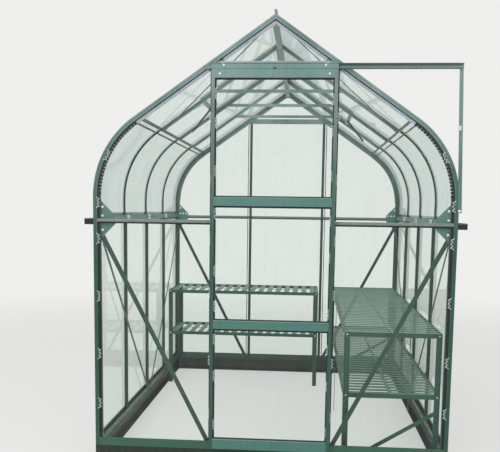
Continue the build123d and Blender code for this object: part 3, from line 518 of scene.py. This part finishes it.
# Glazing clips: W shapes bent from stainless spring wire, pressed in between a bar and the pane to
# hold it. They are bright and show as small white squiggles in the dark seals. The same clips hold
# the wall panes, bent sheets and roof panes to their bars, from outside.


def bare_metal(name, body, dull, roughness, metallic=1.0):
    """Bright bare metal, such as drawn stainless wire or zinc plate: it mirrors what is pale around
    it, with dull spots where it has weathered."""
    material, tree, surface, place = new_material(name)
    # Dull spots of 4 mm, and drawing or plating marks of 1 mm
    spots = add_node(tree, "ShaderNodeTexNoise", {"Scale": 1 / 0.004, "Detail": 3.0}, {"Vector": place})
    marks = add_node(tree, "ShaderNodeTexNoise", {"Scale": 1 / 0.001, "Detail": 2.0}, {"Vector": place})
    amount = add_node(tree, "ShaderNodeMapRange", {"From Min": 0.5, "From Max": 0.75},
                      {"Value": spots.outputs[0]})
    colour = add_node(tree, "ShaderNodeMixRGB", {"Color1": srgb(body), "Color2": srgb(dull)},
                      {"Fac": amount.outputs[0]})
    finish_surface(tree, surface, colour.outputs["Color"], spots.outputs[0], roughness,
                   roughness + 0.2, marks.outputs[0], depth=0.0002, strength=0.15)
    surface.inputs["Metallic"].default_value = metallic
    return material


stainless_wire = bare_metal("stainless_wire", body="#FAFBFB", dull="#E4E6E5", roughness=0.35)
wire_radius = 0.0014

# Half of a clip in millimetres: along the bar, from the bar's edge on to the pane, and outwards,
# where the end hooks over the bar
half_clip = ((10, -3, 0.6), (20, 6, 0), (26, -6, 3.5), (31, -8, 3.5))
clip_shape = (*((-along, across, out) for along, across, out in reversed(half_clip)),
              (0, 7, 0), *half_clip)


def add_clip(curve, place, along, across, out):
    """Draws one wire clip at a place, from the ways along the bar, across on to the pane and out."""
    spline = curve.splines.new("BEZIER")
    spline.bezier_points.add(len(clip_shape) - 1)
    for point, (a, c, o) in zip(spline.bezier_points, clip_shape):
        point.co = place + (along * a + across * c + out * o) / 1000
        point.handle_left_type = point.handle_right_type = "AUTO"


def new_wire(name):
    """A curve that round wire is drawn along."""
    curve = bpy.data.curves.new(name, "CURVE")
    curve.dimensions = "3D"
    curve.bevel_depth = wire_radius
    curve.bevel_resolution = 2
    curve.resolution_u = 5
    curve.use_fill_caps = True
    return curve


def place_wire(curve, body):
    """Makes a drawn wire curve a piece that rides on a body."""
    curve.materials.append(stainless_wire)
    piece = bpy.data.objects.new(curve.name, curve)
    bpy.context.collection.objects.link(piece)
    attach(piece, body)
    return piece


up = Vector((0, 0, 1))
to_front = Vector((0, -1, 0))
clip_lift = 0.0033
clip_depth = 0.0262
small_step = 0.01
bar_clip_places = (0.34, 0.62, 0.94, 1.255, 1.45, 1.72)
post_clip_heights = (0.30, 0.60, 0.97, 1.26, 1.58, 1.90)
post_clip_x = door_post_edge + 0.003

gable_clips = new_wire("gable_clips")
clip_y = glass_face_y - clip_lift
for side in (-1, 1):
    for y, out in ((clip_y, to_front), (house_length - clip_y, -to_front)):
        for s in bar_clip_places:
            place = on_skin(side, s, clip_depth, y)
            before = on_skin(side, s - small_step, clip_depth, y)
            after = on_skin(side, s + small_step, clip_depth, y)
            inwards = (on_skin(side, s, clip_depth + small_step, y) - place).normalized()
            add_clip(gable_clips, place, (after - before).normalized(), inwards, out)
        for z in post_clip_heights:
            add_clip(gable_clips, Vector((side * post_clip_x, y, z)), up, Vector((side, 0, 0)), out)
place_wire(gable_clips, "greenhouse")

bay = 0.62
inner_bars = (1, 2, 3)
skin_clip_places = (0.32, 0.72, 1.15, 1.44, 1.74, 2.10, 2.48, 2.80)
skin_clip_depth = 0.0048
skin_clip_rise = 0.4
skin_clips = new_wire("skin_clips")
for side in (-1, 1):
    for bar in inner_bars:
        for s in skin_clip_places:
            place = on_skin(side, s, skin_clip_depth, bay * bar)
            after = on_skin(side, s + small_step, skin_clip_depth, bay * bar)
            out = (on_skin(side, s, 0.0, bay * bar) - place).normalized()
            add_clip(skin_clips, place, (after - place).normalized(), -to_front, out * skin_clip_rise)
place_wire(skin_clips, "greenhouse")

# Bolts: M6 in the extrusions' slots, with zinc plated hexagon nuts on washers. They fix gussets,
# braces, eaves rails, head bars and the track's strut, and stay the brightest specks on the frame.
zinc = bare_metal("zinc_plate", body="#F8F9F9", dull="#DDE0DE", roughness=0.45, metallic=0.8)
nut = ((20, 0.60, 0.60, 0.11), (6, 0.57, 0.57, 0.30), (6, 0.57, 0.50, 0.06), (12, 0.28, 0.20, 0.16))
long_end = (*nut[:3], (12, 0.36, 0.36, 0.55), (12, 0.36, 0.22, 0.08))
pan_head = ((20, 0.50, 0.50, 0.08), (20, 0.50, 0.40, 0.12), (20, 0.40, 0.18, 0.08))
thin_head = ((20, 0.50, 0.50, 0.05), (20, 0.44, 0.36, 0.06), (20, 0.36, 0.14, 0.04))
gusset_face = -0.002
gusset_plate = brace_plate = 0.0025
gusset_column_x = 0.9245
gusset_row_xs = (0.900, 0.872)
brace_bolt_z, gusset_row_z, top_bolt_z = 1.302, 1.378, 1.426
rail_back_x = 0.939
rail_bolt_heights = (1.3535, 1.3695)
rail_bolt_size = 0.014
head_bolt_x, head_bolt_z, head_bolt_size = 0.274, 2.1786, 0.0072
strut_bolt, strut_bolt_size = (0.9735, -0.0245, 1.4279), 0.0125


def add_bolt(mesh, place, way, parts=nut, size=0.012):
    """Stacks the discs of a nut or head outwards. Each has sides, radii and a height, in sizes."""
    way = Vector(way).normalized()
    turn = way.to_track_quat("Z", "Y").to_matrix().to_4x4()
    level = 0.0
    for sides, foot, top, height in parts:
        middle = Vector(place) + way * (level + height / 2) * size
        bmesh.ops.create_cone(mesh, cap_ends=True, segments=sides, radius1=foot * size,
                              radius2=top * size, depth=height * size,
                              matrix=Matrix.Translation(middle) @ turn)
        level += height


def add_on_both_gables(mesh, x, y, z, outwards):
    """A nut on the front gable's frame, facing out or into the house, and its twin on the back one."""
    add_bolt(mesh, (x, y, z), (0, -outwards, 0))
    add_bolt(mesh, (x, house_length - y, z), (0, outwards, 0))


frame_bolts = bmesh.new()
for side in (-1, 1):
    for z in (brace_bolt_z, gusset_row_z, top_bolt_z):
        inner_face = gusset_face + gusset_plate + (brace_plate if z == brace_bolt_z else 0)
        add_on_both_gables(frame_bolts, side * gusset_column_x, gusset_face, z, 1)
        add_on_both_gables(frame_bolts, side * gusset_column_x, inner_face, z, -1)
    for x in gusset_row_xs:
        add_on_both_gables(frame_bolts, side * x, gusset_face + gusset_plate, gusset_row_z, -1)
    for bar in inner_bars:
        for z in rail_bolt_heights:
            add_bolt(frame_bolts, (side * rail_back_x, bay * bar, z), (-side, 0, 0), long_end,
                     rail_bolt_size)
    add_bolt(frame_bolts, (side * head_bolt_x, bar_face_y, head_bolt_z), to_front, thin_head,
             head_bolt_size)
add_bolt(frame_bolts, strut_bolt, to_front, thin_head, strut_bolt_size)
make_piece("frame_bolts", frame_bolts, zinc, "greenhouse")

# Roof vents: a coated aluminium frame hinged under the ridge with one pane, a slam bar that it
# shuts on, and a dark notched stay to prop it with.
vent_green = coated_metal("vent_powder_coat", full="#44796A", faded="#9DB3AE", bare_and_highlit_edge="#B4C9BD",
                          dust="#A7B8AC", dust_and_skylight_share=0.6, splash_height=0.10)
stay_steel = coated_metal("dark_stay_paint", full="#1F2726", faded="#333D3B", bare_and_highlit_edge="#7F8785",
                          dust="#5C6563", dust_and_skylight_share=0.4, splash_height=0.10, roughness=0.5)
paint(vent_green, "vent_frames", "vent_slam_bars")
paint(stay_steel, "vent_stays")

# Staging: angle frames and slats of thin coated aluminium, riveted. Compost and dried water leave
# the decks pale and dusty, while the legs keep their green. The frames are bolted at each leg.
stage_green = coated_metal("stage_powder_coat", full="#1C5040", faded="#326A58", bare_and_highlit_edge="#7C9F91",
                           dust="#7F9A8B", dust_and_skylight_share=0.5, splash_height=0.15)
deck_green = coated_metal("dusty_deck_coat", full="#35705E", faded="#578F7C", bare_and_highlit_edge="#9CBDAF",
                          dust="#A3B8AC", dust_and_skylight_share=0.8, splash_height=0.10, roughness=0.55)
paint(stage_green, "right_bench_frame", "back_bench_legs", "back_bench_long_rails",
      "back_bench_end_rails", "back_bench_ledges")
paint(deck_green, "right_bench_slats", "back_bench_slats")

rivet = ((12, 0.50, 0.44, 0.12), (12, 0.44, 0.22, 0.12))
rivet_size = 0.008
deck_levels = (0.4225, 0.7625)
slat_pitch = 0.070
right_slats, right_middle_x, right_middle_y = 34, 0.666, 1.240
back_slats, back_middle_x, back_middle_y = 17, -0.321, 2.206
bolts_below_deck = 0.010
end_bolt_size, side_bolt_size = 0.0065, 0.008

# Where the legs' bolts are on the right bench's two ends and long side, and on the back bench's
# long side and right end
right_end_ys, right_leg_xs = ((0.050, -1), (2.430, 1)), (0.417, 0.9155)
right_side_x, right_leg_ys = 0.402, (0.065, 1.240, 2.415)
back_side_y, back_leg_xs = 1.950, (-0.911, 0.269)
back_end_x, back_leg_ys = 0.284, (1.965, 2.447)

rivets = bmesh.new()
stage_bolts = bmesh.new()
for level in deck_levels:
    for n in range(right_slats):
        y = right_middle_y + (n - (right_slats - 1) / 2) * slat_pitch
        add_bolt(rivets, (right_middle_x, y, level), up, rivet, rivet_size)
    for n in range(back_slats):
        x = back_middle_x + (n - (back_slats - 1) / 2) * slat_pitch
        add_bolt(rivets, (x, back_middle_y, level), up, rivet, rivet_size)
    z = level - bolts_below_deck
    for x in right_leg_xs:
        for y, way in right_end_ys:
            add_bolt(stage_bolts, (x, y, z), (0, way, 0), size=end_bolt_size)
    for y in right_leg_ys:
        add_bolt(stage_bolts, (right_side_x, y, z), (-1, 0, 0), size=side_bolt_size)
    for x in back_leg_xs:
        add_bolt(stage_bolts, (x, back_side_y, z), to_front, size=side_bolt_size)
    for y in back_leg_ys:
        add_bolt(stage_bolts, (back_end_x, y, z), (1, 0, 0), size=side_bolt_size)
make_piece("deck_rivets", rivets, zinc, "greenhouse")
make_piece("stage_bolts", stage_bolts, zinc, "greenhouse")

# Door: a leaf of coated aluminium tube with three panes, held in black rubber. Fine beads run along
# the top edges of its rails, coloured pale as a painted highlight, and wire clips hold the glass to
# the stiles.
stile_green = coated_metal("stile_powder_coat", full="#205242", faded="#8F9F9D", bare_and_highlit_edge="#A4BFB8",
                           dust="#9FB8B0", dust_and_skylight_share=0.5, splash_height=0.12)
rail_green = coated_metal("rail_powder_coat", full="#467A70", faded="#819E9D", bare_and_highlit_edge="#A9C4BD",
                          dust="#A3BBB4", dust_and_skylight_share=0.7, splash_height=0.06)
# The beads' pale coat is a painted highlight on the rails' top edges
bead_highlight_green = coated_metal("bead_highlight_coat", full="#6C9C8C", faded="#8DB3A4", bare_and_highlit_edge="#C5D6CC",
                          dust="#C2D2C8", dust_and_skylight_share=1.0, splash_height=0.05)
nylon = moulded_plastic("white_nylon", body="#EDEDE8", top_tone="#DCDCD4", roughness=0.4)
paint(stile_green, "door_stiles")
paint(rail_green, "door_top_rail", "door_middle_rails", "door_bottom_rail")
paint(nylon, "door_rollers")

stile_edge = 0.310
door_glass_front, door_glass_back = -0.042, -0.039
leaf_front = -0.052
panes = ((0.168, 0.780), (0.827, 1.440), (1.487, 2.100))
door_seal_width, top_seal_width = 0.006, 0.010
front_seal_rise, back_seal_rise = 0.005, 0.004


def add_seal_ring(mesh, z1, z2, y_glass, y_edge, top_width):
    """A rubber seal round one pane, mitred at its corners and sloping down to the glass."""
    outer = ((-stile_edge, z1), (stile_edge, z1), (stile_edge, z2), (-stile_edge, z2))
    inner_edge, inner_foot, inner_top = stile_edge - door_seal_width, z1 + door_seal_width, z2 - top_width
    inner = ((-inner_edge, inner_foot), (inner_edge, inner_foot),
             (inner_edge, inner_top), (-inner_edge, inner_top))
    y_lip = y_glass + (y_edge - y_glass) / 4
    loops = []
    for corners, y in ((outer, y_glass), (outer, y_edge), (inner, y_lip), (inner, y_glass)):
        loops.append([mesh.verts.new((x, y, z)) for x, z in corners])
    for first, second in zip(loops, loops[1:] + loops[:1]):
        for i in range(4):
            j = (i + 1) % 4
            mesh.faces.new((first[i], first[j], second[j], second[i]))


door_seals = bmesh.new()
for z1, z2 in panes:
    add_seal_ring(door_seals, z1, z2, door_glass_front, door_glass_front - front_seal_rise,
                  top_seal_width)
    add_seal_ring(door_seals, z1, z2, door_glass_back, door_glass_back + back_seal_rise,
                  door_seal_width)
make_piece("door_seals", door_seals, black_rubber, "door")

bead_radius = 0.0017
bead_steps = 8
bead_drop = 0.003
beads = bmesh.new()
for rail_top, _ in panes:
    ends = []
    for x in (-stile_edge, stile_edge):
        ring = []
        for n in range(bead_steps + 1):
            angle = pi * n / bead_steps
            ring.append(beads.verts.new((x, leaf_front - bead_radius * sin(angle),
                                         rail_top - bead_drop + bead_radius * cos(angle))))
        ends.append(ring)
    for n in range(bead_steps):
        beads.faces.new((ends[0][n], ends[0][n + 1], ends[1][n + 1], ends[1][n]))
    beads.faces.new((ends[0][0], ends[0][-1], ends[1][-1], ends[1][0]))
    beads.faces.new(ends[0])
    beads.faces.new(ends[1])
make_piece("rail_beads", beads, bead_highlight_green, "door")

# The clips were pushed in by hand, so their heights differ from side to side
door_clip_x = 0.306
door_clip_y = door_glass_front - 0.0062
door_clips = new_wire("door_clips")
for side, heights in (
    (-1, (2.02, 1.87, 1.62, 1.398, 1.094, 0.902, 0.722, 0.521, 0.25)),
    (1, (1.99, 1.83, 1.60, 1.366, 1.171, 0.874, 0.681, 0.478, 0.224)),
):
    for z in heights:
        place = Vector((side * door_clip_x, door_clip_y, z))
        add_clip(door_clips, place, up, Vector((side, 0, 0)), to_front)
place_wire(door_clips, "door")

# Door fittings: pan-headed bolts hold the hanger plate to the leaf, and a rubber stop sits between
# them. The shade in the fine groove along the hanger's lower edge is painted as a thin black strip.
hanger_bolt_x, hanger_bolt_z, hanger_bolt_size = 0.2835, 2.120, 0.010
stop_x, stop_z, stop_size = 0.002, 2.1475, 0.011
stop_shape = ((20, 0.50, 0.50, 0.10), (20, 0.50, 0.35, 0.15))
hanger_groove_reach = 0.327
hanger_groove_low, hanger_groove_high = 2.1436, 2.1448
hanger_groove_line = 0.0006

door_bolts = bmesh.new()
for side in (-1, 1):
    add_bolt(door_bolts, (side * hanger_bolt_x, leaf_front, hanger_bolt_z), to_front, pan_head,
             hanger_bolt_size)
make_piece("door_bolts", door_bolts, zinc, "door")

stop = bmesh.new()
add_bolt(stop, (stop_x, leaf_front, stop_z), to_front, stop_shape, stop_size)
make_piece("door_stop", stop, black_rubber, "door")

# The groove's shade, painted as a thin black strip on the leaf
hanger_groove_shade = bmesh.new()
add_bar(hanger_groove_shade, (-hanger_groove_reach, leaf_front - hanger_groove_line, hanger_groove_low),
        (hanger_groove_reach, leaf_front, hanger_groove_high), thin_bevel)
make_piece("hanger_groove_shade", hanger_groove_shade, black_rubber, "door")

# Track: a coated aluminium extrusion whose far end is carried by a leaning strut. A white nylon
# clip sits on the strut.
track_green = coated_metal("track_powder_coat", full="#3C6E62", faded="#8FA09F", bare_and_highlit_edge="#A4B8B2",
                           dust="#93AAA2", dust_and_skylight_share=0.6, splash_height=0.10)
paint(track_green, "door_track", "track_strut")

strut_clip_low, strut_clip_high = (0.953, -0.0262, 1.840), (0.964, -0.0245, 1.864)
strut_clip = bmesh.new()
add_bar(strut_clip, strut_clip_low, strut_clip_high, 0.0007)
make_piece("strut_clip", strut_clip, nylon, "greenhouse")

# Floor: a plain pale sheet under the house that fades out far from it, so that no edge of it shows.
# The camera sees part of its paleness as an even glow, which keeps the house's shadow light.
floor_middle = (0.0, house_length / 2, 0.0)
floor_radius = 14.0
full_until, gone_from = 3.0, 8.5
glow_share = 0.6


def seen_share(tree):
    """One where the camera sees a surface, straight or by way of mirrors and glass, and zero where
    the surface lights the scene."""
    path = add_node(tree, "ShaderNodeLightPath")
    share = path.outputs["Is Camera Ray"]
    for ray in ("Is Glossy Ray", "Is Transmission Ray"):
        either = add_node(tree, "ShaderNodeMath", {"operation": "MAXIMUM"},
                          {0: share, 1: path.outputs[ray]})
        share = either.outputs[0]
    return share


floor_mesh = bmesh.new()
bmesh.ops.create_circle(floor_mesh, cap_ends=True, segments=96, radius=floor_radius,
                        matrix=Matrix.Translation(floor_middle))
floor_data = bpy.data.meshes.new("floor")
floor_mesh.to_mesh(floor_data)
floor_mesh.free()
floor = bpy.data.objects.new("floor", floor_data)
bpy.context.collection.objects.link(floor)

pale_floor = bpy.data.materials.new("pale_floor")
pale_floor.use_nodes = True
tree = pale_floor.node_tree
surface = tree.nodes["Principled BSDF"]
surface.inputs["Base Color"].default_value = srgb("#F4F4F2")
surface.inputs["Roughness"].default_value = 0.9
place = add_node(tree, "ShaderNodeTexCoord").outputs["Object"]
away = add_node(tree, "ShaderNodeVectorMath", {"operation": "DISTANCE", 1: floor_middle}, {0: place})
shown = add_node(tree, "ShaderNodeMapRange",
                 {"interpolation_type": "SMOOTHSTEP", "From Min": gone_from, "From Max": full_until},
                 {"Value": away.outputs["Value"]})
glow = add_node(tree, "ShaderNodeEmission", {"Color": srgb("#EFEFED"), "Strength": 1.0})
glowing = add_node(tree, "ShaderNodeMath", {"operation": "MULTIPLY", 1: glow_share},
                   {0: seen_share(tree)})
sheet = add_node(tree, "ShaderNodeMixShader",
                 links={0: glowing.outputs[0], 1: surface.outputs[0], 2: glow.outputs[0]})
beyond = add_node(tree, "ShaderNodeBsdfTransparent")
faded = add_node(tree, "ShaderNodeMixShader",
                 links={0: shown.outputs[0], 1: beyond.outputs[0], 2: sheet.outputs[0]})
tree.links.new(faded.outputs[0], tree.nodes["Material Output"].inputs["Surface"])
floor_data.materials.append(pale_floor)

# Light: an even pale surround with one large soft lamp from the left above and a weaker one from
# the right. The camera, and mirrors and glass, see the surround as plain near-white.
world = bpy.data.worlds.new("world")
bpy.context.scene.world = world
world.use_nodes = True
tree = world.node_tree
tree.nodes.clear()
shine = add_node(tree, "ShaderNodeBackground", {"Color": srgb("#F1F2F1"), "Strength": 0.62})
backdrop = add_node(tree, "ShaderNodeBackground", {"Color": srgb("#EFEFED"), "Strength": 1.0})
both = add_node(tree, "ShaderNodeMixShader",
                links={0: seen_share(tree), 1: shine.outputs[0], 2: backdrop.outputs[0]})
add_node(tree, "ShaderNodeOutputWorld", links={"Surface": both.outputs[0]})

for name, lamp_place, target, size, power in (
    ("left_lamp", (-3.6, -4.2, 5.2), (0.0, 0.6, 1.2), 4.5, 210.0),
    ("right_lamp", (4.6, -2.4, 3.6), (0.0, 1.2, 1.2), 3.5, 60.0),
):
    lamp_data = bpy.data.lights.new(name, "AREA")
    lamp_data.size = size
    lamp_data.energy = power
    lamp = bpy.data.objects.new(name, lamp_data)
    lamp.location = lamp_place
    lamp.rotation_euler = (Vector(target) - Vector(lamp_place)).to_track_quat("-Z", "Y").to_euler()
    bpy.context.collection.objects.link(lamp)

bpy.context.scene.view_settings.view_transform = "Standard"
bpy.context.scene.cycles.transparent_max_bounces = 48
